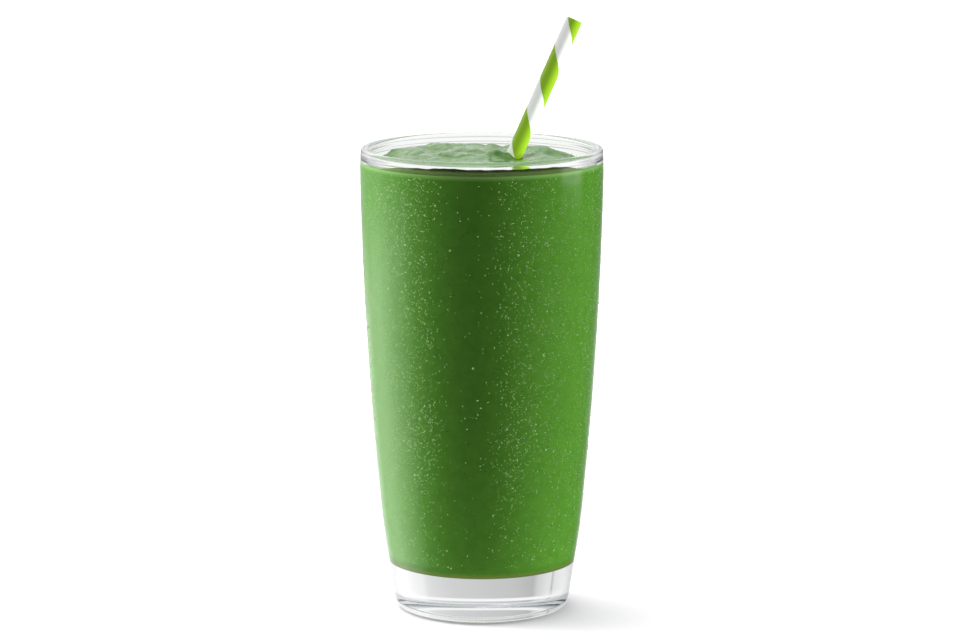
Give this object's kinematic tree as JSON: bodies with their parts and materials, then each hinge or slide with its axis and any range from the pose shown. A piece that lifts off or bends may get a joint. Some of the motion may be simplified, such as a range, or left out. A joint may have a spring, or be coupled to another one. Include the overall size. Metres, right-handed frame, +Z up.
{
  "type": "green smoothie in a glass",
  "caption": "Thick green smoothie filling a tall tapered glass with a heavy clear base, with a striped paper straw leaning in it.",
  "frame": {"origin": "middle of the glass's foot, on the plane that it stands on", "axes": "+Z up along the glass's axis; the straw leans to +X and a little to +Y, and -Y is the side seen from the front"},
  "size_m": [0.086, 0.086, 0.2107],
  "materials": {
    "glass": "clear, polished, with fine drops of condensation outside",
    "smoothie": "thick opaque drink with a wet, folded surface and fine darker specks",
    "straw_paper": "white paper with a lime green spiral stripe"
  },
  "bodies": {
    "root": {"glass": "glass", "smoothie": "smoothie", "straw": "straw_paper"}
  },
  "joints": []
}
